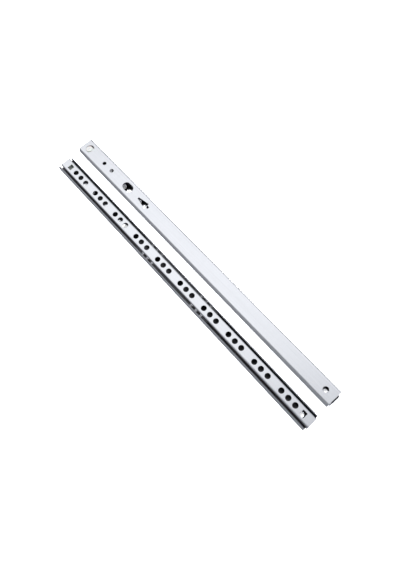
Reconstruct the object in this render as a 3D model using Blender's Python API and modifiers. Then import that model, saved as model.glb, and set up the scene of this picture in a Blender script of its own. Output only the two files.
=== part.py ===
"""A matched pair of narrow ball-bearing drawer slides, lying side by side.

Each slide is a cabinet rail, a drawer rail that runs inside it, a ball cage with two rows of balls
between them, and a nylon closing stop. Along X the back of the slide is at -X, and the drawer rail
opens towards +X. In a slide's own section, v runs across it and w runs from the back face of the
cabinet rail (w = 0) to the face of the drawer rail (w = DEPTH).

The left slide lies on its cabinet rail, and the right slide is turned over, on its drawer rail.
Lengths are in metres.
"""

import math

import bmesh
import bpy

# The slide as a whole. The drawer rail sits a little forward of the cabinet rail when it is shut.
CABINET_LENGTH = 0.3435
DRAWER_LENGTH = 0.342
DRAWER_FORWARD = 0.0020
WIDTH = 0.017
DEPTH = 0.010
SHEET = 0.001
PAIR_SPACING = 0.0273
LEFT_MIDDLE = -0.00040
RIGHT_MIDDLE = -0.00085

# Cabinet rail section.
CABINET_FLAT = 0.0064
CABINET_BEND = 0.0019
CABINET_WALL_TOP = 0.0052
LIP_RADIUS = 0.0022
LIP_HEIGHT = 0.0059
LIP_WRAP = math.radians(68)
LIP_CUTBACK = 0.0020
LIP_CUT_FLOOR = 0.0058

# Drawer rail section.
DRAWER_HALF = 0.0052
DRAWER_BEND = 0.00125
DRAWER_SKIRT = 0.0030
DRAWER_SKIRT_EDGE = 0.0006

# Balls, their raceways and the cage.
BALL_RADIUS = 0.00135
BALL_ACROSS = 0.00605
BALL_HEIGHT = 0.0054
RACEWAY_RADIUS = 0.0015
RACEWAY_WRAP = math.radians(50)
RACEWAY_CLEARANCE = 0.00005
BALLS_IN_GROUP = 3
BALL_PITCH = 0.0065
BALL_GROUP_MIDDLE = 0.0343
CAGE_LENGTH = 0.100
CAGE_FORWARD = 0.0035
CAGE_SHEET = 0.0006
CAGE_HALF = 0.00635
CAGE_FLOOR = 0.0014
CAGE_TOP = 0.0075
CAGE_BEND = 0.0009
POCKET_RADIUS = 0.0015

# Holes in the drawer rail: groups of three on the 32 mm furniture pitch.
GROUPS = 10
GROUP_PITCH = 0.032
HOLE_PITCH = 0.008
HOLE_RADIUS = 0.0026
WINDOW_LENGTH = 0.0046
WINDOW_WIDTH = 0.0052
WINDOW_FROM_END = 0.0100
TAB_WIDTH = 0.0044
TAB_DROP = 0.0034

# Openings in the cabinet rail, measured from its back end.
STOP_HOLE_AT = 0.0087
STOP_HOLE_RADIUS = 0.0042
SCREW_HOLES_AT = (0.0330, 0.0449)
SCREW_HOLE_RADIUS = 0.0020
OBLONG_AT = 0.0709
OBLONG_LENGTH = 0.0123
OBLONG_RADIUS = 0.0041
ARROW_TIP_AT = 0.0872
ARROW_HEAD = 0.0125
ARROW_STEM = 0.0031
ARROW_TIP_HALF = 0.0008
ARROW_HALF = 0.0031
ARROW_STEM_HALF = 0.0012
FRONT_HOLE_FROM_END = 0.0101

# Closing stop.
STOP_START = 0.0020
STOP_GAP = 0.00035
STOP_HALF = 0.0030
STOP_FLOOR = 0.0013
STOP_TOP = 0.0050
STOP_PEG_RADIUS = 0.00305
STOP_PEG_BACK = 0.0007
STOP_PEG_ASIDE = 0.0008
STOP_PEG_RECESS = 0.0002

# Cutters run past the sheet by this much on each side.
OVERRUN = 0.0005
HOLE_SIDES = 14
POCKET_SIDES = 8

PARTS = "drawer_slide_pair"
CUTTERS = "cutters"

# Colour, roughness and metallic of each material.
MATERIALS = {
    "zinc_plated_steel": ((0.72, 0.74, 0.78), 0.38, 1.0),
    "zinc_plated_steel_drawer": ((0.74, 0.76, 0.80), 0.38, 1.0),
    "cage_steel": ((0.12, 0.12, 0.13), 0.40, 1.0),
    "ball_steel": ((0.80, 0.80, 0.82), 0.12, 1.0),
    "nylon": ((0.80, 0.80, 0.78), 0.45, 0.0),
}


def clear_scene():
    for obj in list(bpy.data.objects):
        bpy.data.objects.remove(obj, do_unlink=True)


def new_collection(name):
    made = bpy.data.collections.new(name)
    bpy.context.scene.collection.children.link(made)
    return made


def new_material(name, colour, roughness, metallic):
    made = bpy.data.materials.new(name)
    made.use_nodes = True
    shader = made.node_tree.nodes["Principled BSDF"]
    shader.inputs["Base Color"].default_value = (*colour, 1.0)
    shader.inputs["Roughness"].default_value = roughness
    shader.inputs["Metallic"].default_value = metallic
    return made


def new_object(name, bm, collection, material=None, parent=None):
    mesh = bpy.data.meshes.new(name)
    bm.to_mesh(mesh)
    bm.free()
    if material:
        mesh.materials.append(material)
    made = bpy.data.objects.new(name, mesh)
    made.parent = parent
    collection.objects.link(made)
    return made


def new_empty(name, collection, location, turned=False, parent=None):
    made = bpy.data.objects.new(name, None)
    made.location = location
    made.rotation_euler = (math.pi if turned else 0.0, 0.0, 0.0)
    made.parent = parent
    collection.objects.link(made)
    return made


def arc(centre, radius, start, end, steps):
    """Points of an arc in the (v, w) plane, both ends included."""
    angles = [start + (end - start) * i / steps for i in range(steps + 1)]
    return [(centre[0] + radius * math.cos(a), centre[1] + radius * math.sin(a)) for a in angles]


def both_sides(half):
    """A section's right half, from the middle out, made into the whole section."""
    return [(-v, w) for v, w in reversed(half)] + half


def cabinet_section():
    half = arc((CABINET_FLAT, CABINET_BEND), CABINET_BEND, -math.pi / 2, math.radians(-10), 3)
    half.append((WIDTH / 2, CABINET_WALL_TOP))
    half += arc((WIDTH / 2 - LIP_RADIUS, LIP_HEIGHT), LIP_RADIUS, 0.0, LIP_WRAP, 5)
    return both_sides(half)


def drawer_section():
    centre = (DRAWER_HALF - DRAWER_BEND, DEPTH - DRAWER_BEND)
    half = arc(centre, DRAWER_BEND, math.pi / 2, 0.0, 3)
    race = (BALL_ACROSS + RACEWAY_CLEARANCE, BALL_HEIGHT)
    half += arc(race, RACEWAY_RADIUS, math.pi - RACEWAY_WRAP, math.pi + RACEWAY_WRAP, 5)
    half.append((DRAWER_HALF, DRAWER_SKIRT + DRAWER_SKIRT_EDGE))
    half.append((DRAWER_HALF, DRAWER_SKIRT))
    return both_sides(half)


def cage_section():
    half = arc((CAGE_HALF - CAGE_BEND, CAGE_FLOOR + CAGE_BEND), CAGE_BEND, -math.pi / 2, 0.0, 2)
    half.append((CAGE_HALF, CAGE_TOP))
    return both_sides(half)


def sheet_strip(name, section, length, thickness, collection, material, parent):
    """A rolled sheet: the section's outer line drawn out along X, then given its thickness inwards."""
    bm = bmesh.new()
    points = [bm.verts.new((-length / 2, v, w)) for v, w in section]
    edges = [bm.edges.new(pair) for pair in zip(points, points[1:])]
    drawn = bmesh.ops.extrude_edge_only(bm, edges=edges)["geom"]
    ends = [item for item in drawn if isinstance(item, bmesh.types.BMVert)]
    bmesh.ops.translate(bm, verts=ends, vec=(length, 0.0, 0.0))
    strip = new_object(name, bm, collection, material, parent)
    solid = strip.modifiers.new("sheet", "SOLIDIFY")
    solid.thickness = thickness
    solid.offset = -1.0 if middle_face_points_out(strip) else 1.0
    solid.use_even_offset = True
    return strip


def middle_face_points_out(strip):
    """True when the web's normal points away from the inside of the section."""
    mesh = strip.data
    heights = [vert.co.z for vert in mesh.vertices]
    middle = (min(heights) + max(heights)) / 2
    web = max(mesh.polygons, key=lambda face: face.area)
    return (web.normal.z > 0) == (web.center.z > middle)


def add_prism(bm, outline, low, high):
    """A closed upright prism with the given (x, v) outline."""
    base = bm.faces.new([bm.verts.new((x, v, low)) for x, v in outline])
    raised = bmesh.ops.extrude_face_region(bm, geom=[base])["geom"]
    top = [item for item in raised if isinstance(item, bmesh.types.BMVert)]
    bmesh.ops.translate(bm, verts=top, vec=(0.0, 0.0, high - low))


def circle(x, v, radius, sides=HOLE_SIDES):
    turns = [2 * math.pi * (i + 0.5) / sides for i in range(sides)]
    return [(x + radius * math.cos(a), v + radius * math.sin(a)) for a in turns]


def rectangle(x, v, side_x, side_v):
    a = side_x / 2
    b = side_v / 2
    return [(x - a, v - b), (x + a, v - b), (x + a, v + b), (x - a, v + b)]


def stadium(x, length, radius):
    reach = length / 2 - radius
    front = arc((x + reach, 0.0), radius, -math.pi / 2, math.pi / 2, 6)
    back = arc((x - reach, 0.0), radius, math.pi / 2, 3 * math.pi / 2, 6)
    return front + back


def arrow(tip):
    """An arrowhead that points to the back of the slide, with a short stem behind it."""
    base = tip + ARROW_HEAD
    tail = base + ARROW_STEM
    half = [(tip, ARROW_TIP_HALF), (base, ARROW_HALF), (base, ARROW_STEM_HALF), (tail, ARROW_STEM_HALF)]
    return [(x, -v) for x, v in half] + list(reversed(half))


def new_cutter(name, bm, collection, parent):
    bmesh.ops.recalc_face_normals(bm, faces=bm.faces[:])
    cutter = new_object(name, bm, collection, None, parent)
    cutter.display_type = "WIRE"
    cutter.hide_render = True
    return cutter


def boolean(target, tool, operation):
    step = target.modifiers.new(tool.name, "BOOLEAN")
    step.operation = operation
    step.object = tool
    step.solver = "EXACT"


def cabinet_cutter(name, collection, parent):
    bm = bmesh.new()
    back = -CABINET_LENGTH / 2
    outlines = [
        circle(back + STOP_HOLE_AT, 0.0, STOP_HOLE_RADIUS),
        stadium(back + OBLONG_AT, OBLONG_LENGTH, OBLONG_RADIUS),
        arrow(back + ARROW_TIP_AT),
        circle(CABINET_LENGTH / 2 - FRONT_HOLE_FROM_END, 0.0, HOLE_RADIUS),
    ]
    outlines += [circle(back + at, 0.0, SCREW_HOLE_RADIUS) for at in SCREW_HOLES_AT]
    for outline in outlines:
        add_prism(bm, outline, -OVERRUN, SHEET + OVERRUN)
    ends = rectangle(back, 0.0, 2 * LIP_CUTBACK, WIDTH + 2 * OVERRUN)
    add_prism(bm, ends, LIP_CUT_FLOOR, DEPTH)
    return new_cutter(name, bm, collection, parent)


def drawer_cutter(name, collection, parent):
    bm = bmesh.new()
    low = DEPTH - SHEET - OVERRUN
    high = DEPTH + OVERRUN
    first = -GROUP_PITCH * (GROUPS - 1) / 2
    for group in range(GROUPS):
        for step in (-1, 0, 1):
            x = first + GROUP_PITCH * group + HOLE_PITCH * step
            add_prism(bm, circle(x, 0.0, HOLE_RADIUS), low, high)
    for end in (-1, 1):
        x = end * (DRAWER_LENGTH / 2 - WINDOW_FROM_END)
        add_prism(bm, rectangle(x, 0.0, WINDOW_LENGTH, WINDOW_WIDTH), low, high)
    return new_cutter(name, bm, collection, parent)


def tab_tool(name, collection, parent):
    """The two stop tabs, bent down beside the windows on the side of the middle of the rail."""
    bm = bmesh.new()
    for end in (-1, 1):
        x = end * (DRAWER_LENGTH / 2 - WINDOW_FROM_END - WINDOW_LENGTH / 2 - SHEET / 2)
        bottom = DEPTH - SHEET - TAB_DROP
        add_prism(bm, rectangle(x, 0.0, SHEET, TAB_WIDTH), bottom, DEPTH - SHEET / 2)
    return new_cutter(name, bm, collection, parent)


def ball_places():
    """Places of a row's balls along the cage: a group near each of its ends."""
    steps = [BALL_PITCH * (i - (BALLS_IN_GROUP - 1) / 2) for i in range(BALLS_IN_GROUP)]
    return [end * BALL_GROUP_MIDDLE + step for end in (-1, 1) for step in steps]


def pocket_cutter(name, collection, parent):
    """Round pockets through both sides of the cage."""
    bm = bmesh.new()
    for x in ball_places():
        for side in (-1, 1):
            middle = side * (CAGE_HALF - CAGE_SHEET / 2)
            start = middle - CAGE_SHEET
            ring = [(px, start, pw) for px, pw in circle(x, BALL_HEIGHT, POCKET_RADIUS, POCKET_SIDES)]
            base = bm.faces.new([bm.verts.new(point) for point in ring])
            drawn = bmesh.ops.extrude_face_region(bm, geom=[base])["geom"]
            moved = [item for item in drawn if isinstance(item, bmesh.types.BMVert)]
            bmesh.ops.translate(bm, verts=moved, vec=(0.0, 2 * CAGE_SHEET, 0.0))
    return new_cutter(name, bm, collection, parent)


def end_buffer(name, side, collections, material, parent):
    """A nylon block inside the cabinet rail, with a peg that stands in the large round hole."""
    parts, cutters = collections
    back = -CABINET_LENGTH / 2
    recess = (CABINET_LENGTH - DRAWER_LENGTH) / 2 + DRAWER_FORWARD
    face = recess + WINDOW_FROM_END + WINDOW_LENGTH / 2 - STOP_GAP
    length = face - STOP_START
    bm = bmesh.new()
    block = rectangle(back + STOP_START + length / 2, 0.0, length, 2 * STOP_HALF)
    add_prism(bm, block, STOP_FLOOR, STOP_TOP)
    bmesh.ops.recalc_face_normals(bm, faces=bm.faces[:])
    made = new_object(name, bm, parts, material, parent)
    bm = bmesh.new()
    peg = circle(back + STOP_HOLE_AT - STOP_PEG_BACK, STOP_PEG_ASIDE, STOP_PEG_RADIUS)
    add_prism(bm, peg, STOP_PEG_RECESS, STOP_FLOOR + SHEET / 2)
    boolean(made, new_cutter(side + "_buffer_peg_tool", bm, cutters, parent), "UNION")
    return made


def ball_mesh(material):
    bm = bmesh.new()
    bmesh.ops.create_icosphere(bm, subdivisions=2, radius=BALL_RADIUS)
    mesh = bpy.data.meshes.new("bearing_ball")
    bm.to_mesh(mesh)
    bm.free()
    mesh.shade_smooth()
    mesh.materials.append(material)
    return mesh


def build_slide(side, y, x, turned, collections, materials):
    parts, cutters = collections
    base = new_empty(side + "_slide", parts, (x, y, DEPTH if turned else 0.0), turned)
    drawer_axis = new_empty(side + "_drawer_axis", parts, (DRAWER_FORWARD, 0.0, 0.0), parent=base)
    cage_axis = new_empty(side + "_cage_axis", parts, (CAGE_FORWARD, 0.0, 0.0), parent=base)

    cabinet = sheet_strip(
        side + "_cabinet_rail", cabinet_section(), CABINET_LENGTH, SHEET, parts,
        materials["zinc_plated_steel"], base
    )
    boolean(cabinet, cabinet_cutter(side + "_cabinet_holes", cutters, base), "DIFFERENCE")

    drawer = sheet_strip(
        side + "_drawer_rail", drawer_section(), DRAWER_LENGTH, SHEET, parts,
        materials["zinc_plated_steel_drawer"], drawer_axis
    )
    boolean(drawer, drawer_cutter(side + "_drawer_holes", cutters, drawer_axis), "DIFFERENCE")
    boolean(drawer, tab_tool(side + "_stop_tabs", cutters, drawer_axis), "UNION")

    cage = sheet_strip(
        side + "_ball_cage", cage_section(), CAGE_LENGTH, CAGE_SHEET, parts,
        materials["cage_steel"], cage_axis
    )
    boolean(cage, pocket_cutter(side + "_cage_pockets", cutters, cage_axis), "DIFFERENCE")

    ball = ball_mesh(materials["ball_steel"])
    for row, across in (("a", -BALL_ACROSS), ("b", BALL_ACROSS)):
        for number, place in enumerate(ball_places(), start=1):
            piece = bpy.data.objects.new(f"{side}_ball_{row}_{number:02d}", ball)
            piece.location = (place, across, BALL_HEIGHT)
            piece.parent = cage_axis
            parts.objects.link(piece)

    end_buffer(side + "_end_buffer", side, collections, materials["nylon"], base)


def main():
    clear_scene()
    collections = (new_collection(PARTS), new_collection(CUTTERS))
    materials = {name: new_material(name, *values) for name, values in MATERIALS.items()}
    half_gap = PAIR_SPACING / 2
    build_slide("left", -half_gap, LEFT_MIDDLE, False, collections, materials)
    build_slide("right", half_gap, RIGHT_MIDDLE, True, collections, materials)


main()
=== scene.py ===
"""The looks of a matched pair of ball-bearing drawer slides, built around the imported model.

Laid out as an add-on: sizes and finishes are properties, and each group of pieces has its operator.
A piece is modelled in its slide's own section, where y runs across the slide and z from the back face
of the cabinet rail to the face of the drawer rail. It is then copied to both slides.
Lengths are in metres.
"""

import math

import bmesh
import bpy
from mathutils import Matrix, Vector


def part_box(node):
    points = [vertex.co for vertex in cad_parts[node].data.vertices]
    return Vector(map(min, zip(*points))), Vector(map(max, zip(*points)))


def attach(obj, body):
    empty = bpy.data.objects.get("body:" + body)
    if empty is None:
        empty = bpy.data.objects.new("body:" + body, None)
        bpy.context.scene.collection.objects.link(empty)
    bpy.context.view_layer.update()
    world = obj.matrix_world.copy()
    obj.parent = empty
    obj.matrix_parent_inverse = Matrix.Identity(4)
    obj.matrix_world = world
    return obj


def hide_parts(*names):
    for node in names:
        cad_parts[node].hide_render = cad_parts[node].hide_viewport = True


bl_info = {
    "name": "Ball-bearing drawer slides",
    "version": (1, 0, 0),
    "blender": (4, 5, 0),
    "location": "View3D > Sidebar > Drawer Slide",
    "description": "Detailed rails, cages, balls and closing stops for a pair of drawer slides",
    "category": "Object",
}

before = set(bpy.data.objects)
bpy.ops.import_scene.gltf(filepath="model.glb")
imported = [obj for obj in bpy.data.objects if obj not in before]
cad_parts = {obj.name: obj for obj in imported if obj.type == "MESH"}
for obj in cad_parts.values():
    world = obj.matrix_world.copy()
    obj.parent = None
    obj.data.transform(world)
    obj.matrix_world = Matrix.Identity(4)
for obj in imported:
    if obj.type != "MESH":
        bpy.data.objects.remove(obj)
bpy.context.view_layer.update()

SIDES = ("left", "right")
RAIL_BOX = {side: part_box(side + "_cabinet_rail") for side in SIDES}
DRAWER_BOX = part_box("left_drawer_rail")
CAGE_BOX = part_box("left_ball_cage")
BALL_GROUPS = 2
BALLS_IN_GROUP = sum(name.startswith("left_ball_a_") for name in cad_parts) // BALL_GROUPS
TURNED = {"left": 0.0, "right": math.pi}

SMOOTH_ANGLE = math.radians(38)
SHARP_ANGLE = math.radians(30)
TINY = 0.00002
CUT_TRIES = 12


class SlideSizes(bpy.types.PropertyGroup):
    """Sizes of one slide. Places along it are measured from its back end."""

    cabinet_length: bpy.props.FloatProperty(
        name="Cabinet rail length",
        description="Length of the cabinet rail",
        default=RAIL_BOX["left"][1].x - RAIL_BOX["left"][0].x,
        unit="LENGTH",
    )
    drawer_length: bpy.props.FloatProperty(
        name="Drawer rail length",
        description="Length of the drawer rail",
        default=DRAWER_BOX[1].x - DRAWER_BOX[0].x,
        unit="LENGTH",
    )
    width: bpy.props.FloatProperty(
        name="Width",
        description="Width across the cabinet rail",
        default=RAIL_BOX["left"][1].y - RAIL_BOX["left"][0].y,
        unit="LENGTH",
    )
    depth: bpy.props.FloatProperty(
        name="Depth",
        description="From the cabinet rail's back to the drawer rail's face",
        default=DRAWER_BOX[1].z,
        unit="LENGTH",
    )
    sheet: bpy.props.FloatProperty(
        name="Sheet", description="Thickness of the rails' steel", default=0.001, unit="LENGTH"
    )
    cage_length: bpy.props.FloatProperty(
        name="Cage length",
        description="Length of the ball cage",
        default=CAGE_BOX[1].x - CAGE_BOX[0].x,
        unit="LENGTH",
    )
    cage_sheet: bpy.props.FloatProperty(
        name="Cage sheet", description="Thickness of the cage's steel", default=0.0006, unit="LENGTH"
    )
    ball_radius: bpy.props.FloatProperty(
        name="Ball radius", description="Radius of a bearing ball", default=0.00135, unit="LENGTH"
    )
    ball_pitch: bpy.props.FloatProperty(
        name="Ball pitch", description="From one ball of a group to the next", default=0.0065, unit="LENGTH"
    )
    ball_group: bpy.props.FloatProperty(
        name="Ball group", description="From the cage's middle to the middle of a group of balls",
        default=0.0343, unit="LENGTH",
    )
    hole_radius: bpy.props.FloatProperty(
        name="Hole radius", description="Radius of the drawer rail's holes", default=0.0026, unit="LENGTH"
    )
    group_pitch: bpy.props.FloatProperty(
        name="Group pitch", description="From one group of holes to the next", default=0.032, unit="LENGTH"
    )
    hole_pitch: bpy.props.FloatProperty(
        name="Hole pitch", description="From hole to hole in a group", default=0.008, unit="LENGTH"
    )
    groups: bpy.props.IntProperty(
        name="Groups", description="Number of groups of three holes", default=10, min=1
    )
    edge: bpy.props.FloatProperty(
        name="Rolled edge",
        description="Rounding of the edges that the punch leaves",
        default=0.00012,
        unit="LENGTH",
    )


class SlideFinishes(bpy.types.PropertyGroup):
    """Colours and roughness of the finishes."""

    zinc: bpy.props.FloatVectorProperty(
        name="Zinc", description="Colour of the zinc plating", default=(0.80, 0.815, 0.845),
        subtype="COLOR", min=0.0, max=1.0,
    )
    zinc_roughness: bpy.props.FloatProperty(
        name="Zinc roughness", description="Roughness of the plating", default=0.36, subtype="FACTOR"
    )
    shear: bpy.props.FloatVectorProperty(
        name="Cut steel", description="Colour of the sheared edges", default=(0.50, 0.51, 0.53),
        subtype="COLOR", min=0.0, max=1.0,
    )
    cage: bpy.props.FloatVectorProperty(
        name="Cage steel", description="Colour of the cage", default=(0.10, 0.10, 0.11),
        subtype="COLOR", min=0.0, max=1.0,
    )
    # Dark grease colour that is also painted shade for the inside of the rails.
    grease: bpy.props.FloatVectorProperty(
        name="Grease", description="Colour of the greased inside of the rails", default=(0.10, 0.10, 0.105),
        subtype="COLOR", min=0.0, max=1.0,
    )
    ball: bpy.props.FloatVectorProperty(
        name="Ball steel", description="Colour of the balls", default=(0.80, 0.80, 0.82),
        subtype="COLOR", min=0.0, max=1.0,
    )
    nylon: bpy.props.FloatVectorProperty(
        name="Nylon", description="Colour of the closing stops", default=(0.82, 0.82, 0.80),
        subtype="COLOR", min=0.0, max=1.0,
    )


class StudioSettings(bpy.types.PropertyGroup):
    """Where the camera stands, and how strong the light is."""

    azimuth: bpy.props.FloatProperty(
        name="Azimuth", description="Direction the camera stands in", default=math.radians(58.82),
        subtype="ANGLE",
    )
    elevation: bpy.props.FloatProperty(
        name="Elevation", description="Height of the camera above the floor", default=math.radians(67.83),
        subtype="ANGLE",
    )
    roll: bpy.props.FloatProperty(
        name="Roll", description="Turn of the camera about its own axis", default=math.radians(-10.62),
        subtype="ANGLE",
    )
    distance: bpy.props.FloatProperty(
        name="Distance", description="From the camera to the slides", default=0.486665, unit="LENGTH"
    )
    aside: bpy.props.FloatProperty(
        name="Aside", description="How far the slides' middle lies right of the view's", default=-0.012964,
        unit="LENGTH",
    )
    above: bpy.props.FloatProperty(
        name="Above", description="How far the slides' middle lies above the view's", default=0.013056,
        unit="LENGTH",
    )
    lens: bpy.props.FloatProperty(
        name="Lens", description="Focal length on a 36 mm sensor", default=33.406, subtype="DISTANCE_CAMERA"
    )
    softbox: bpy.props.FloatProperty(
        name="Softbox", description="Radiance of the overhead softbox", default=0.95, min=0.0
    )
    table: bpy.props.FloatProperty(
        name="Table", description="Radiance of the table as the rails' walls reflect it",
        default=0.28, min=0.0,
    )
    room: bpy.props.FloatProperty(
        name="Room", description="Radiance of the room round the slides", default=0.35, min=0.0
    )


# ---------------------------------------------------------------- selecting and shaping


def only(piece):
    """Object mode, with this piece alone selected and active."""
    if bpy.context.mode != "OBJECT":
        bpy.ops.object.mode_set(mode="OBJECT")
    bpy.ops.object.select_all(action="DESELECT")
    piece.select_set(True)
    bpy.context.view_layer.objects.active = piece
    return piece


def edit(piece):
    only(piece)
    bpy.ops.object.mode_set(mode="EDIT")
    return piece


def pick(kind, wanted):
    """In edit mode, selects only the vertices, edges or faces that the test wants."""
    mesh = bpy.context.object.data
    bpy.ops.mesh.select_mode(type=kind)
    bpy.ops.mesh.select_all(action="DESELECT")
    shape = bmesh.from_edit_mesh(mesh)
    found = 0
    for part in {"VERT": shape.verts, "EDGE": shape.edges, "FACE": shape.faces}[kind]:
        if wanted(part):
            part.select_set(True)
            found += 1
    shape.select_flush_mode()
    bmesh.update_edit_mesh(mesh)
    if not found:
        raise RuntimeError(f"nothing to pick on {bpy.context.object.name}")


def ends_at(edge, test):
    return all(test(vert.co) for vert in edge.verts)


def added(name):
    """The primitive that was just added, named."""
    piece = bpy.context.object
    piece.name = name
    return piece


def use(piece, kind, **settings):
    """Adds a modifier with these settings and applies it."""
    only(piece)
    modifier = piece.modifiers.new(kind.lower(), kind)
    for name, value in settings.items():
        setattr(modifier, name, value)
    bpy.ops.object.modifier_apply(modifier=modifier.name)


def volume(piece):
    """The volume that the piece's faces enclose, below zero when they face inwards."""
    shape = bmesh.new()
    shape.from_mesh(piece.data)
    enclosed = shape.calc_volume(signed=True)
    shape.free()
    return enclosed


def cut(piece, tools, operation="DIFFERENCE", solver="EXACT"):
    """Joins the tools into one, cuts them out of the piece or joins them to it, and removes them.

    A cut that doesn't leave less of the piece, or a union that doesn't leave more, is made again.
    """
    only(tools[0])
    for tool in tools:
        tool.select_set(True)
    if len(tools) > 1:
        bpy.ops.object.join()
    tool = bpy.context.object
    bpy.ops.object.transform_apply(location=True, rotation=True, scale=True)
    whole = piece.data.copy()
    before = volume(piece)
    for _ in range(CUT_TRIES):
        use(piece, "BOOLEAN", object=tool, operation=operation, solver=solver)
        after = volume(piece)
        if after > before if operation == "UNION" else 0.0 < after < before:
            break
        piece.data = whole.copy()
    else:
        raise RuntimeError(f"a cut failed on {piece.name}")
    only(tool)
    bpy.ops.object.delete()


def flat_strip(name, length, half, cuts):
    """A flat strip of sheet along X, with crosswise lines between its holes."""
    bpy.ops.object.select_all(action="DESELECT")
    bpy.ops.mesh.primitive_plane_add(size=1.0)
    strip = edit(added(name))
    bpy.ops.transform.resize(value=(length, 2 * half, 1.0))
    for x in cuts:
        bpy.ops.mesh.select_all(action="SELECT")
        bpy.ops.mesh.bisect(plane_co=(x, 0.0, 0.0), plane_no=(1.0, 0.0, 0.0))
    return strip


def pick_border(side, half):
    pick("EDGE", lambda edge: ends_at(edge, lambda co: side * co.y > half - TINY))


def run(side, across, up):
    """Draws the picked edges out in a straight line."""
    bpy.ops.mesh.extrude_region_move(TRANSFORM_OT_translate={"value": (0.0, side * across, up)})


def bend(side, centre, angle, steps):
    """Rolls the picked edges round an axis along X. A positive angle turns from across towards up."""
    bpy.ops.mesh.spin(
        steps=steps, angle=-side * angle, center=(0.0, side * centre[0], centre[1]), axis=(1.0, 0.0, 0.0)
    )


def thicken(strip, sheet):
    """Gives the sheet its thickness, inwards."""
    edit(strip)
    bpy.ops.mesh.select_all(action="SELECT")
    bpy.ops.mesh.remove_doubles(threshold=TINY / 4)
    bpy.ops.mesh.normals_make_consistent(inside=False)
    bpy.ops.object.mode_set(mode="OBJECT")
    web = max(strip.data.polygons, key=lambda face: face.area)
    heights = [vert.co.z for vert in strip.data.vertices]
    outside = (web.normal.z > 0) == (web.center.z > (min(heights) + max(heights)) / 2)
    use(
        strip, "SOLIDIFY", thickness=sheet, offset=-1.0 if outside else 1.0,
        use_even_offset=True, use_quality_normals=True,
    )
    if volume(strip) < 0.0:
        edit(strip)
        bpy.ops.mesh.select_all(action="SELECT")
        bpy.ops.mesh.flip_normals()
        only(strip)


def drill(x, y, z, radius, depth, sides=40, axis="Z"):
    """A round drill through (x, y, z)."""
    turn = {"Z": (0.0, 0.0, 0.0), "Y": (math.pi / 2, 0.0, 0.0)}[axis]
    bpy.ops.object.select_all(action="DESELECT")
    bpy.ops.mesh.primitive_cylinder_add(
        vertices=sides, radius=radius, depth=depth, location=(x, y, z), rotation=turn
    )
    return added("drill")


def block(x, y, z, size, rounding=0.0, segments=4):
    """A block tool whose upright edges are rounded."""
    bpy.ops.object.select_all(action="DESELECT")
    bpy.ops.mesh.primitive_cube_add(size=1.0, location=(x, y, z))
    tool = edit(added("block"))
    bpy.ops.transform.resize(value=size)
    if rounding:
        pick("EDGE", lambda edge: abs(edge.verts[0].co.z - edge.verts[1].co.z) > size[2] / 2)
        bpy.ops.mesh.bevel(offset=rounding, segments=segments, affect="EDGES")
    return only(tool)


def stretch(tool, test, value):
    """Moves the vertices of a tool that the test wants, in the tool's own axes."""
    edit(tool)
    pick("VERT", lambda vert: test(vert.co))
    bpy.ops.transform.translate(value=value)
    return only(tool)


def round_edges(piece, offset, segments=2):
    """Rounds every sharp edge a little, as punching, rolling and plating leave it."""
    edit(piece)
    bpy.ops.mesh.select_mode(type="EDGE")
    bpy.ops.mesh.select_all(action="DESELECT")
    bpy.ops.mesh.edges_select_sharp(sharpness=SHARP_ANGLE)
    bpy.ops.mesh.bevel(offset=offset, segments=segments, affect="EDGES", clamp_overlap=True)
    only(piece)


def smooth(piece):
    only(piece)
    bpy.ops.object.shade_smooth_by_angle(angle=SMOOTH_ANGLE)
    use(piece, "WEIGHTED_NORMAL", weight=80, keep_sharp=True)


def faces_inwards(face):
    """True on the inside of a rolled section, which faces the section's axis."""
    middle = face.calc_center_median()
    reach = face.normal.z * (SECTION_AXIS - middle.z) - face.normal.y * middle.y
    return abs(face.normal.x) < 0.3 and reach > 0.001


def paint(piece, material, wanted):
    """Puts a material on the faces that the test wants."""
    edit(piece)
    pick("FACE", wanted)
    piece.active_material_index = piece.data.materials.find(material.name)
    bpy.ops.object.material_slot_assign()
    only(piece)


def duplicate(piece, name):
    only(piece)
    bpy.ops.object.duplicate(linked=False)
    return added(name)


def lay(piece, side, forward):
    """Lays a piece modelled in the slide's section on its slide, with its place in its mesh."""
    low, high = RAIL_BOX[side]
    depth = bpy.context.scene.slide_sizes.depth
    place = Vector(((low.x + high.x) / 2 + forward, (low.y + high.y) / 2, depth if TURNED[side] else 0.0))
    only(piece)
    piece.rotation_euler = (TURNED[side], 0.0, 0.0)
    piece.location = place
    bpy.ops.object.transform_apply(location=True, rotation=True, scale=True)
    return piece


def fit(piece, name, body, node, forward=0.0):
    """Copies a finished piece to both slides, on the bodies and nodes that it stands for."""
    for side in SIDES:
        copy = lay(duplicate(piece, f"{side}_{name}"), side, forward)
        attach(copy, body.format(side=side))
        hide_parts(node.format(side=side))
    only(piece)
    bpy.ops.object.delete()


# ---------------------------------------------------------------- materials


class Signal:
    """A number that varies over a surface. Sums written with it add Math nodes."""

    def __init__(self, finish, socket):
        self.finish = finish
        self.socket = socket

    def maths(self, operation, first, second):
        return self.finish.add("Math", {"operation": operation}, {0: first, 1: second})

    def __add__(self, other):
        return self.maths("ADD", self, other)

    def __radd__(self, other):
        return self.maths("ADD", other, self)

    def __sub__(self, other):
        return self.maths("SUBTRACT", self, other)

    def __rsub__(self, other):
        return self.maths("SUBTRACT", other, self)

    def __mul__(self, other):
        return self.maths("MULTIPLY", self, other)

    def __rmul__(self, other):
        return self.maths("MULTIPLY", other, self)


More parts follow.
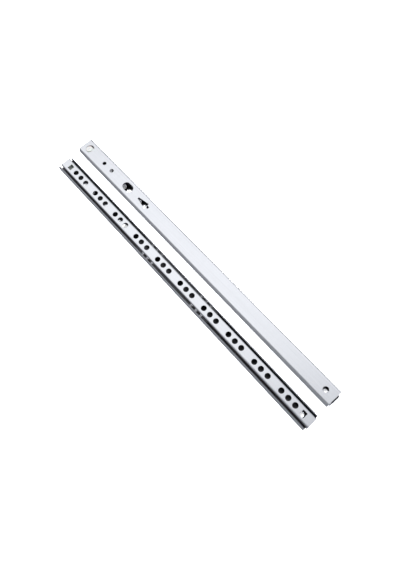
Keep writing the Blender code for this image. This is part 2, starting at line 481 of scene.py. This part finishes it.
class Finish:
    """A material and its nodes."""

    def __init__(self, name):
        self.material = bpy.data.materials.new(name)
        self.material.use_nodes = True
        self.tree = self.material.node_tree
        self.shader = self.tree.nodes["Principled BSDF"]
        self.place = self.add("TexCoord", output="Object")

    def add(self, kind, settings=None, sockets=None, output=0):
        """Adds a node: its settings first, then its sockets, and gives back one output."""
        node = self.tree.nodes.new("ShaderNode" + kind)
        for name, value in (settings or {}).items():
            if name == "stops":
                for stop, (at, colour) in zip(node.color_ramp.elements, value):
                    stop.position = at
                    stop.color = colour
            else:
                setattr(node, name, value)
        self.fill(node, sockets or {})
        return Signal(self, node.outputs[output])

    def fill(self, node, sockets):
        for name, value in sockets.items():
            if isinstance(value, Signal):
                self.tree.links.new(value.socket, node.inputs[name])
            else:
                node.inputs[name].default_value = value

    def grain(self, scale, detail=3.0, rough=0.55):
        """Noise between 0 and 1, with its own scale along each axis."""
        spot = self.add("Mapping", None, {"Vector": self.place, "Scale": scale})
        sockets = {"Vector": spot, "Scale": 1.0, "Detail": detail, "Roughness": rough}
        return self.add("TexNoise", None, sockets)

    def band(self, value, low, high):
        """value from low to high, clamped, becomes 0 to 1."""
        return self.add("MapRange", {"clamp": True}, {"Value": value, "From Min": low, "From Max": high})

    def mix(self, factor, first, second):
        """Mixes two colours."""
        node = self.tree.nodes.new("ShaderNodeMix")
        node.data_type = "RGBA"
        for socket, value in ((0, factor), (6, first), (7, second)):
            if isinstance(value, Signal):
                self.tree.links.new(value.socket, node.inputs[socket])
            else:
                node.inputs[socket].default_value = value
        return Signal(self, node.outputs[2])

    def bump(self, height, distance, strength=1.0):
        return self.add("Bump", None, {"Height": height, "Distance": distance, "Strength": strength})

    def finish(self, **sockets):
        """Links or sets the shader's sockets."""
        self.fill(self.shader, {name.replace("_", " "): value for name, value in sockets.items()})
        return self.material


def tone(colour, factor):
    return tuple(min(1.0, part * factor) for part in colour) + (1.0,)


def made_once(maker):
    """Keeps a material from being made twice. Its maker's name is the material's."""

    def get():
        return bpy.data.materials.get(maker.__name__) or maker(maker.__name__)

    return get


def rolled_zinc(name, colour, roughness, seed):
    """Zinc plating on cold-rolled strip: fine rolling lines along X, a faint mottle and a crystal grain."""
    finish = Finish(name)
    lines = finish.grain((22.0, 2600.0 + seed, 2600.0), detail=4.0, rough=0.6)
    broad = finish.grain((9.0, 700.0, 700.0 + seed), detail=2.0)
    mottle = finish.grain((160.0, 160.0 + seed, 160.0), detail=3.0)
    crystal = finish.grain((2400.0, 2400.0, 2400.0), detail=2.0, rough=0.7)
    scratch = finish.band(finish.grain((45.0, 5200.0, 5200.0 + seed), detail=1.0), 0.66, 0.76)
    shade = 0.34 * lines + 0.22 * broad + 0.24 * mottle + 0.20 * crystal
    tint = finish.mix(finish.band(shade, 0.36, 0.64), tone(colour, 0.90), tone(colour, 1.07))
    worn = finish.mix(scratch * 0.5, tint, tone(colour, 1.12))
    matt = roughness - 0.14 + 0.22 * shade + 0.06 * mottle
    relief = 0.6 * lines + 0.3 * crystal - 0.5 * scratch
    return finish.finish(
        Base_Color=worn, Metallic=1.0, Roughness=matt, Normal=finish.bump(relief, 0.000006, 0.8)
    )


@made_once
def satin_zinc_cabinet(name):
    finishes = bpy.context.scene.slide_finishes
    return rolled_zinc(name, tuple(finishes.zinc), finishes.zinc_roughness, 0.0)


@made_once
def satin_zinc_drawer(name):
    finishes = bpy.context.scene.slide_finishes
    return rolled_zinc(name, tuple(finishes.zinc), finishes.zinc_roughness, 170.0)


@made_once
def sheared_steel(name):
    """The cut edges: smooth where the punch sheared the steel, torn below, thinly plated."""
    colour = tuple(bpy.context.scene.slide_finishes.shear)
    finish = Finish(name)
    tears = finish.grain((2600.0, 2600.0, 320.0), detail=3.0)
    spots = finish.grain((900.0, 900.0, 900.0))
    shade = finish.band(0.6 * tears + 0.4 * spots, 0.35, 0.65)
    tint = finish.mix(shade, tone(colour, 0.8), tone(colour, 1.2))
    return finish.finish(
        Base_Color=tint, Metallic=1.0, Roughness=0.36 + 0.25 * tears, Normal=finish.bump(tears, 0.00002, 0.7)
    )


@made_once
def greased_inside(name):
    """The inside of the rails: zinc under a film of dark grease that lies thicker in patches. Its very dark
    colour is also painted shade, standing in for the shade that falls inside the section.
    """
    colour = tuple(bpy.context.scene.slide_finishes.grease)
    finish = Finish(name)
    film = finish.grain((120.0, 420.0, 420.0), detail=3.0)
    lumps = finish.grain((1500.0, 1500.0, 1500.0), detail=2.0)
    shade = finish.band(0.7 * film + 0.3 * lumps, 0.35, 0.65)
    tint = finish.mix(shade, tone(colour, 0.7), tone(colour, 1.3))
    return finish.finish(
        Base_Color=tint, Metallic=1.0, Roughness=0.30 + 0.25 * film, Normal=finish.bump(lumps, 0.00003, 0.6)
    )


@made_once
def oiled_cage_strip(name):
    """Thin dark strip, with fine rolling lines under a film of oil."""
    colour = tuple(bpy.context.scene.slide_finishes.cage)
    finish = Finish(name)
    lines = finish.grain((30.0, 2200.0, 2200.0))
    oil = finish.grain((260.0, 260.0, 260.0), detail=2.0)
    shade = finish.band(0.6 * lines + 0.4 * oil, 0.35, 0.65)
    tint = finish.mix(shade, tone(colour, 0.86), tone(colour, 1.14))
    return finish.finish(
        Base_Color=tint, Metallic=1.0, Roughness=0.22 + 0.2 * lines + 0.16 * oil,
        Normal=finish.bump(lines, 0.000008, 0.7),
    )


@made_once
def polished_ball(name):
    """Polished ball steel with a light track of wear and grease."""
    colour = tuple(bpy.context.scene.slide_finishes.ball)
    finish = Finish(name)
    film = finish.grain((1100.0, 1100.0, 1100.0), detail=2.0)
    tint = finish.mix(finish.band(film, 0.4, 0.65), tone(colour, 0.9), tone(colour, 1.05))
    return finish.finish(Base_Color=tint, Metallic=1.0, Roughness=0.06 + 0.12 * film)


@made_once
def moulded_nylon(name):
    """Natural nylon with a fine spark-eroded skin and a faint flow mark."""
    colour = tuple(bpy.context.scene.slide_finishes.nylon)
    finish = Finish(name)
    skin = finish.grain((5200.0, 5200.0, 5200.0), detail=2.0)
    flow = finish.grain((260.0, 520.0, 260.0), detail=2.0)
    shade = finish.band(0.7 * flow + 0.3 * skin, 0.35, 0.65)
    tint = finish.mix(shade, tone(colour, 0.95), tone(colour, 1.04))
    finish.shader.inputs["Subsurface Weight"].default_value = 0.12
    finish.shader.inputs["Subsurface Scale"].default_value = 0.001
    return finish.finish(
        Base_Color=tint, Roughness=0.42 + 0.12 * skin, Normal=finish.bump(skin, 0.00002, 0.5)
    )


def dress(piece, *materials):
    piece.data.materials.clear()
    for material in materials:
        piece.data.materials.append(material)


# ---------------------------------------------------------------- the pieces

CABINET_FLAT = 0.0064
CABINET_BEND = 0.0019
CABINET_BEND_ANGLE = math.radians(86.4)
CABINET_WALL_TOP = 0.0052
LIP_RADIUS = 0.0022
LIP_HEIGHT = 0.0059
LIP_WRAP = math.radians(68)
LIP_CUTBACK = 0.0020
LIP_CUT_FLOOR = 0.0058
WEB_LINES_AT = (0.016, 0.039, 0.058, 0.082, 0.106, 0.16, 0.214, 0.268, 0.3225)

STOP_HOLE_AT = 0.0087
STOP_HOLE_RADIUS = 0.0042
SCREW_HOLES_AT = (0.0330, 0.0449)
SCREW_HOLE_RADIUS = 0.0020
OBLONG_AT = 0.0709
OBLONG_LENGTH = 0.0123
OBLONG_RADIUS = 0.0041
ARROW_TIP_AT = 0.0872
ARROW_HEAD = 0.0125
ARROW_STEM = 0.0031
ARROW_TIP_HALF = 0.0008
ARROW_HALF = 0.0031
ARROW_STEM_HALF = 0.0012
ARROW_OVERLAP = 0.002
HOLE_CORNER = 0.0003
FRONT_HOLE_FROM_END = 0.0101

SECTION_AXIS = 0.0050
DRAWER_FORWARD = 0.0020
DRAWER_FLAT = 0.00395
DRAWER_HALF = 0.0052
DRAWER_BEND = 0.00125
DRAWER_SKIRT = 0.0030
DRAWER_SKIRT_EDGE = 0.0006
RACE_CENTRE = (0.0061, 0.0054)
RACE_RADIUS = 0.0015
RACE_WRAP = math.radians(50)
WINDOW_LENGTH = 0.0046
WINDOW_WIDTH = 0.0052
WINDOW_FROM_END = 0.0100
TAB_WIDTH = 0.0044
TAB_DROP = 0.0034

CAGE_FORWARD = 0.0035
BALL_ACROSS = 0.00605
BALL_HEIGHT = 0.0054
CAGE_HALF = 0.00635
CAGE_FLOOR = 0.0014
CAGE_TOP = 0.0075
CAGE_BEND = 0.0009
CAGE_EDGE = 0.00008
POCKET_RADIUS = 0.0015
SCALLOP_ABOVE = 0.0006
SCALLOP_RADIUS = 0.0013
SLOT_LENGTH = 0.0090
SLOT_WIDTH = 0.0052
SLOT_CORNER = 0.0022
SLOT_PITCH = 0.0145

STOP_HALF = 0.0030
STOP_FLOOR = 0.0013
STOP_TOP = 0.0050
STOP_PEG_RADIUS = 0.00305
STOP_PEG_BACK = 0.0007
STOP_PEG_ASIDE = 0.0008
STOP_PEG_RECESS = 0.0002
STOP_CORNER = 0.0006
STOP_EDGE = 0.00018
STOP_CORE_RADIUS = 0.0011
STOP_CORE_DEPTH = 0.0008
STOP_END_WALL = 0.0018
STOP_SIDE_WALL = 0.0009
STOP_HOLLOW_DEPTH = 0.0016
STOP_HOLLOW_AHEAD = 0.0006


class CabinetRails(bpy.types.Operator):
    """Rolled C rails with the stop, screw, adjusting and arrow holes in their webs"""

    bl_idname = "drawer_slide.cabinet_rails"
    bl_label = "Cabinet rails"

    def execute(self, context):
        sizes = context.scene.slide_sizes
        back = -sizes.cabinet_length / 2
        lines = [back + at for at in WEB_LINES_AT]
        rail = flat_strip("cabinet_rail_pattern", sizes.cabinet_length, CABINET_FLAT, lines)
        for side in (1, -1):
            pick_border(side, CABINET_FLAT)
            bend(side, (CABINET_FLAT, CABINET_BEND), CABINET_BEND_ANGLE, 8)
            foot = CABINET_FLAT + CABINET_BEND * math.sin(CABINET_BEND_ANGLE)
            height = CABINET_BEND * (1 - math.cos(CABINET_BEND_ANGLE))
            run(side, sizes.width / 2 - foot, CABINET_WALL_TOP - height)
            run(side, 0.0, LIP_HEIGHT - CABINET_WALL_TOP)
            bend(side, (sizes.width / 2 - LIP_RADIUS, LIP_HEIGHT), LIP_WRAP, 9)
        thicken(rail, sizes.sheet)
        cut(rail, self.tools(back, sizes))
        lips = (2 * LIP_CUTBACK, 2 * sizes.width, sizes.depth)
        cut(rail, [block(back, 0.0, LIP_CUT_FLOOR + sizes.depth / 2, lips)])
        round_edges(rail, sizes.edge)
        dress(rail, satin_zinc_cabinet(), sheared_steel(), greased_inside())
        # The inward faces get dark grease that is also painted shade for the inside of the section.
        paint(rail, greased_inside(), faces_inwards)
        self.shear(rail, sizes)
        smooth(rail)
        fit(rail, "rolled_cabinet_rail", "cabinet", "{side}_cabinet_rail")
        return {"FINISHED"}

    def tools(self, back, sizes):
        middle = sizes.sheet / 2
        deep = 3 * sizes.sheet
        tools = [
            drill(back + STOP_HOLE_AT, 0.0, middle, STOP_HOLE_RADIUS, deep, 56),
            drill(-back - FRONT_HOLE_FROM_END, 0.0, middle, sizes.hole_radius, deep),
        ]
        tools += [drill(back + at, 0.0, middle, SCREW_HOLE_RADIUS, deep, 32) for at in SCREW_HOLES_AT]
        reach = OBLONG_LENGTH / 2 - OBLONG_RADIUS
        oblong = drill(back + OBLONG_AT, 0.0, middle, OBLONG_RADIUS, deep, 50)
        stretch(oblong, lambda co: co.x > TINY, (reach, 0.0, 0.0))
        tools.append(stretch(oblong, lambda co: co.x < -TINY, (-reach, 0.0, 0.0)))
        tip = back + ARROW_TIP_AT
        head = block(tip + ARROW_HEAD / 2, 0.0, middle, (ARROW_HEAD, 2 * ARROW_HALF, deep))
        edit(head)
        pick("VERT", lambda vert: vert.co.x < 0)
        bpy.ops.transform.resize(value=(1.0, ARROW_TIP_HALF / ARROW_HALF, 1.0))
        pick("EDGE", lambda edge: abs(edge.verts[0].co.z - edge.verts[1].co.z) > middle)
        bpy.ops.mesh.bevel(offset=HOLE_CORNER, segments=3, affect="EDGES")
        only(head)
        stem = ARROW_STEM + ARROW_OVERLAP
        middle_of_stem = tip + ARROW_HEAD + ARROW_STEM - stem / 2
        shaft = (stem, 2 * ARROW_STEM_HALF, deep)
        cut(head, [block(middle_of_stem, 0.0, middle, shaft, HOLE_CORNER)], "UNION")
        tools.append(head)
        return tools

    def shear(self, rail, sizes):
        end = sizes.cabinet_length / 2 - sizes.edge
        inner = CABINET_FLAT - sizes.sheet

        def is_cut(face):
            middle = face.calc_center_median()
            hole_wall = abs(face.normal.z) < 0.3 and abs(middle.y) < inner and middle.z < sizes.sheet
            return abs(middle.x) > end and abs(face.normal.x) > 0.9 or hole_wall

        paint(rail, sheared_steel(), is_cut)


class DrawerRails(bpy.types.Operator):
    """Inner rails with ball grooves, ten groups of three holes, a window near each end and stop tabs"""

    bl_idname = "drawer_slide.drawer_rails"
    bl_label = "Drawer rails"

    def execute(self, context):
        sizes = context.scene.slide_sizes
        first = -sizes.group_pitch * (sizes.groups - 1) / 2
        groups = [first + sizes.group_pitch * number for number in range(sizes.groups)]
        holes = [x + sizes.hole_pitch * step for x in groups for step in (-1, 0, 1)]
        lines = [x + sizes.hole_pitch / 2 for x in holes]
        lines += [x - 1.5 * sizes.hole_pitch for x in groups]
        rail = flat_strip("drawer_rail_pattern", sizes.drawer_length, DRAWER_FLAT, lines)
        bpy.ops.mesh.select_all(action="SELECT")
        bpy.ops.transform.translate(value=(0.0, 0.0, sizes.depth))
        start = (
            RACE_CENTRE[0] - RACE_RADIUS * math.cos(RACE_WRAP),
            RACE_CENTRE[1] + RACE_RADIUS * math.sin(RACE_WRAP),
        )
        for side in (1, -1):
            pick_border(side, DRAWER_FLAT)
            bend(side, (DRAWER_FLAT, sizes.depth - DRAWER_BEND), -math.pi / 2, 8)
            run(side, start[0] - DRAWER_HALF, start[1] - sizes.depth + DRAWER_BEND)
            bend(side, RACE_CENTRE, 2 * RACE_WRAP, 10)
            low = 2 * RACE_CENTRE[1] - start[1]
            run(side, DRAWER_HALF - start[0], DRAWER_SKIRT + DRAWER_SKIRT_EDGE - low)
            run(side, 0.0, -DRAWER_SKIRT_EDGE)
        thicken(rail, sizes.sheet)
        cut(rail, [self.tab(end, sizes) for end in (-1, 1)], "UNION")
        cut(rail, self.tools(holes, sizes), solver="FAST")
        round_edges(rail, sizes.edge)
        dress(rail, satin_zinc_drawer(), sheared_steel(), greased_inside())
        # The inward faces get dark grease that is also painted shade for the inside of the section.
        paint(rail, greased_inside(), faces_inwards)
        self.shear(rail, sizes)
        smooth(rail)
        fit(rail, "rolled_drawer_rail", "{side}_drawer", "{side}_drawer_rail", DRAWER_FORWARD)
        return {"FINISHED"}

    def tools(self, holes, sizes):
        middle = sizes.depth - sizes.sheet / 2
        deep = 3 * sizes.sheet
        tools = [drill(x, 0.0, middle, sizes.hole_radius, deep) for x in holes]
        for end in (-1, 1):
            x = end * (sizes.drawer_length / 2 - WINDOW_FROM_END)
            tools.append(block(x, 0.0, middle, (WINDOW_LENGTH, WINDOW_WIDTH, deep), HOLE_CORNER))
        return tools

    def tab(self, end, sizes):
        """The flap of a window, bent down at the window's inner side."""
        x = end * (sizes.drawer_length / 2 - WINDOW_FROM_END - WINDOW_LENGTH / 2 - sizes.sheet / 2 - TINY)
        height = TAB_DROP + sizes.sheet / 2
        return block(x, 0.0, sizes.depth - sizes.sheet / 2 - height / 2, (sizes.sheet, TAB_WIDTH, height))

    def shear(self, rail, sizes):
        end = sizes.drawer_length / 2 - sizes.edge
        web = sizes.depth - sizes.sheet

        def is_cut(face):
            middle = face.calc_center_median()
            hole_wall = abs(face.normal.z) < 0.3 and abs(middle.y) < DRAWER_FLAT and middle.z > web
            return abs(middle.x) > end and abs(face.normal.x) > 0.9 or hole_wall

        paint(rail, sheared_steel(), is_cut)


class BallCages(bpy.types.Operator):
    """Stamped cages: thin U strips with a pocket for each ball, and slots and scallops that lighten them"""

    bl_idname = "drawer_slide.ball_cages"
    bl_label = "Ball cages"

    def execute(self, context):
        sizes = context.scene.slide_sizes
        flat = CAGE_HALF - CAGE_BEND
        places = ball_places(sizes)
        cage = flat_strip("ball_cage_pattern", sizes.cage_length, flat, places)
        bpy.ops.mesh.select_all(action="SELECT")
        bpy.ops.transform.translate(value=(0.0, 0.0, CAGE_FLOOR))
        for side in (1, -1):
            pick_border(side, flat)
            bend(side, (flat, CAGE_FLOOR + CAGE_BEND), math.pi / 2, 6)
            run(side, 0.0, CAGE_TOP - CAGE_FLOOR - CAGE_BEND)
        thicken(cage, sizes.cage_sheet)
        cut(cage, self.tools(places, sizes))
        round_edges(cage, CAGE_EDGE)
        dress(cage, oiled_cage_strip())
        smooth(cage)
        fit(cage, "stamped_ball_cage", "{side}_cage", "{side}_ball_cage", CAGE_FORWARD)
        return {"FINISHED"}

    def tools(self, places, sizes):
        tools = []
        wide = 2 * CAGE_HALF + sizes.sheet
        for x in places:
            tools.append(drill(x, 0.0, BALL_HEIGHT, POCKET_RADIUS, wide, 28, "Y"))
        for end in (-1, 1):
            for step in (-1, 0):
                between = end * sizes.ball_group + sizes.ball_pitch * (step + 0.5)
                tools.append(drill(between, 0.0, CAGE_TOP + SCALLOP_ABOVE, SCALLOP_RADIUS, wide, 24, "Y"))
        slot = (SLOT_LENGTH, SLOT_WIDTH, 3 * sizes.sheet)
        for step in (-1.5, -0.5, 0.5, 1.5):
            tools.append(block(step * SLOT_PITCH, 0.0, CAGE_FLOOR, slot, SLOT_CORNER, 6))
        return tools


def ball_places(sizes):
    """Places of a row's balls along the cage: a group near each of its ends."""
    steps = [sizes.ball_pitch * (number - (BALLS_IN_GROUP - 1) / 2) for number in range(BALLS_IN_GROUP)]
    return [end * sizes.ball_group + step for end in (-1, 1) for step in steps]


class BearingBalls(bpy.types.Operator):
    """Two rows of polished balls in each cage"""

    bl_idname = "drawer_slide.bearing_balls"
    bl_label = "Bearing balls"

    def execute(self, context):
        sizes = context.scene.slide_sizes
        bpy.ops.object.select_all(action="DESELECT")
        bpy.ops.mesh.primitive_cube_add(size=2 * sizes.ball_radius)
        ball = added("ball_pattern")
        edit(ball)
        bpy.ops.mesh.subdivide(number_cuts=7)
        only(ball)
        use(ball, "CAST", cast_type="SPHERE", factor=1.0, radius=sizes.ball_radius, use_radius_as_size=False)
        dress(ball, polished_ball())
        bpy.ops.object.shade_smooth()
        for row, side in (("a", -1), ("b", 1)):
            for number, x in enumerate(ball_places(sizes), start=1):
                placed = duplicate(ball, "ball")
                placed.location = (x, side * BALL_ACROSS, BALL_HEIGHT)
                bpy.ops.object.transform_apply(location=True)
                label = f"{row}_{number:02d}"
                node = "{side}_ball_" + label
                fit(placed, f"bearing_{label}", "{side}_cage", node, CAGE_FORWARD)
        only(ball)
        bpy.ops.object.delete()
        return {"FINISHED"}


class ClosingStops(bpy.types.Operator):
    """Nylon stops with a cored peg that snaps into the large hole at the back"""

    bl_idname = "drawer_slide.closing_stops"
    bl_label = "Closing stops"

    start: bpy.props.FloatProperty(
        name="Start", description="From the rail's end to the stop", default=0.0020, unit="LENGTH"
    )
    end: bpy.props.FloatProperty(
        name="End", description="From the rail's end to the face that the tab meets", default=0.0147,
        unit="LENGTH",
    )

    def execute(self, context):
        sizes = context.scene.slide_sizes
        back = -sizes.cabinet_length / 2
        length = self.end - self.start
        middle = back + (self.start + self.end) / 2
        size = (length, 2 * STOP_HALF, STOP_TOP - STOP_FLOOR)
        stop = block(middle, 0.0, (STOP_FLOOR + STOP_TOP) / 2, size, STOP_CORNER, 4)
        stop.name = "closing_stop_pattern"
        bpy.ops.object.transform_apply(location=True)
        hole = back + STOP_HOLE_AT - STOP_PEG_BACK
        peg_top = STOP_FLOOR + sizes.sheet / 2
        height = peg_top - STOP_PEG_RECESS
        peg = drill(hole, STOP_PEG_ASIDE, STOP_PEG_RECESS + height / 2, STOP_PEG_RADIUS, height, 48)
        cut(stop, [peg], "UNION")
        core = drill(hole, STOP_PEG_ASIDE, STOP_PEG_RECESS, STOP_CORE_RADIUS, 2 * STOP_CORE_DEPTH, 32)
        size = (length - 2 * STOP_END_WALL, 2 * (STOP_HALF - STOP_SIDE_WALL), 2 * STOP_HOLLOW_DEPTH)
        hollow = block(middle + STOP_HOLLOW_AHEAD, 0.0, STOP_TOP, size, STOP_CORNER, 4)
        cut(stop, [core, hollow])
        round_edges(stop, STOP_EDGE, 3)
        dress(stop, moulded_nylon())
        smooth(stop)
        fit(stop, "moulded_closing_stop", "cabinet", "{side}_end_buffer")
        return {"FINISHED"}


# ---------------------------------------------------------------- the studio

# Brighter than real paper, so that the floor stays white all over under soft light.
PAPER_WHITE = (4.5, 4.5, 4.5)


def surface(name, colour, strength):
    """A plain matt surface, or a plain lit one."""
    material = bpy.data.materials.new(name)
    material.use_nodes = True
    shader = material.node_tree.nodes["Principled BSDF"]
    shader.inputs["Base Color"].default_value = (*colour, 1.0)
    shader.inputs["Roughness"].default_value = 1.0
    shader.inputs["Specular IOR Level"].default_value = 0.0
    shader.inputs["Emission Color"].default_value = (0.94, 0.97, 1.05, 1.0)
    shader.inputs["Emission Strength"].default_value = strength
    return material


class Studio(bpy.types.Operator):
    """A white floor that runs up into a white backdrop, soft light and the camera"""

    bl_idname = "drawer_slide.studio"
    bl_label = "Studio"

    def execute(self, context):
        settings = context.scene.slide_studio
        paper = self.floor("white_floor", surface("white_paper", PAPER_WHITE, 0.0))
        paper.visible_diffuse = False
        paper.visible_glossy = False
        table = self.floor("grey_table", surface("grey_table", (0.0, 0.0, 0.0), settings.table))
        table.visible_camera = False
        table.visible_diffuse = False
        table.visible_shadow = False
        self.room(settings)
        self.softbox("overhead_softbox", (-0.42, 0.30, 1.1), (2.3, 1.2), settings.softbox)
        for name, place, size, radiance in (
            ("paper_light", (-0.02, 0.14, 1.3), 0.4, 10.0),
            ("paper_fill", (0.0, 0.0, 1.2), 4.0, 0.2),
        ):
            self.softbox(name, place, (size, size), radiance).visible_glossy = False
        self.camera(settings)
        context.scene.view_settings.view_transform = "Standard"
        return {"FINISHED"}

    def floor(self, name, material):
        """A round floor whose rim curves up all the way round."""
        bpy.ops.object.select_all(action="DESELECT")
        bpy.ops.mesh.primitive_circle_add(
            vertices=96, radius=2.5, fill_type="NGON", location=(0.0, 0.0, -0.0002)
        )
        floor = edit(added(name))
        for outwards, up in ((1.12, 0.05), (1.08, 0.14), (1.05, 0.28), (1.02, 0.6), (1.0, 2.5)):
            bpy.ops.mesh.extrude_region_move(TRANSFORM_OT_translate={"value": (0.0, 0.0, up)})
            bpy.ops.transform.resize(value=(outwards, outwards, 1.0))
        only(floor)
        bpy.ops.object.shade_smooth()
        dress(floor, material)
        return floor

    def room(self, settings):
        world = bpy.data.worlds.new("studio_room")
        bpy.context.scene.world = world
        world.use_nodes = True
        backdrop = world.node_tree.nodes["Background"]
        backdrop.inputs["Color"].default_value = (0.93, 0.96, 1.0, 1.0)
        backdrop.inputs["Strength"].default_value = settings.room

    def softbox(self, name, place, size, radiance):
        """A square soft light that faces the slides. Its power follows from its radiance."""
        towards = Vector((0.0, 0.0, 0.0)) - Vector(place)
        turn = towards.to_track_quat("-Z", "Y").to_euler()
        bpy.ops.object.select_all(action="DESELECT")
        bpy.ops.object.light_add(type="AREA", location=place, rotation=turn)
        light = added(name)
        light.data.shape = "RECTANGLE"
        light.data.size, light.data.size_y = size
        light.data.energy = radiance * math.pi * size[0] * size[1]
        return light

    def camera(self, settings):
        """The view keeps the slides' middle a little aside of its own."""
        across = math.cos(settings.azimuth)
        along = math.sin(settings.azimuth)
        level = math.cos(settings.elevation)
        back = Vector((along * level, -across * level, math.sin(settings.elevation)))
        flat = Vector((across, along, 0.0))
        upright = back.cross(flat)
        right = flat * math.cos(settings.roll) + upright * math.sin(settings.roll)
        up = upright * math.cos(settings.roll) - flat * math.sin(settings.roll)
        turn = Matrix((right, up, back)).transposed().to_euler()
        place = back * settings.distance - right * settings.aside - up * settings.above
        bpy.ops.object.camera_add(location=place, rotation=turn)
        camera = added("studio_camera")
        camera.data.sensor_width = 36.0
        camera.data.lens = settings.lens
        camera.data.clip_start = 0.01
        bpy.context.scene.camera = camera


class SlidePanel(bpy.types.Panel):
    """The slides' sizes, finishes and operators"""

    bl_idname = "VIEW3D_PT_drawer_slide"
    bl_label = "Drawer Slide"
    bl_space_type = "VIEW_3D"
    bl_region_type = "UI"
    bl_category = "Drawer Slide"

    def draw(self, context):
        layout = self.layout
        for group in ("slide_sizes", "slide_finishes", "slide_studio"):
            settings = getattr(context.scene, group)
            for name in settings.__annotations__:
                layout.prop(settings, name)
        for operator in OPERATORS:
            layout.operator(operator.bl_idname)


OPERATORS = (CabinetRails, DrawerRails, BallCages, BearingBalls, ClosingStops, Studio)
GROUPS = (("slide_sizes", SlideSizes), ("slide_finishes", SlideFinishes), ("slide_studio", StudioSettings))


def register():
    for name, group in GROUPS:
        bpy.utils.register_class(group)
        setattr(bpy.types.Scene, name, bpy.props.PointerProperty(type=group))
    for made in (*OPERATORS, SlidePanel):
        bpy.utils.register_class(made)


def unregister():
    for made in reversed((*OPERATORS, SlidePanel)):
        bpy.utils.unregister_class(made)
    for name, group in reversed(GROUPS):
        delattr(bpy.types.Scene, name)
        bpy.utils.unregister_class(group)


def main():
    register()
    bpy.ops.drawer_slide.cabinet_rails()
    bpy.ops.drawer_slide.drawer_rails()
    bpy.ops.drawer_slide.ball_cages()
    bpy.ops.drawer_slide.bearing_balls()
    bpy.ops.drawer_slide.closing_stops()
    bpy.ops.drawer_slide.studio()


if __name__ == "__main__":
    main()
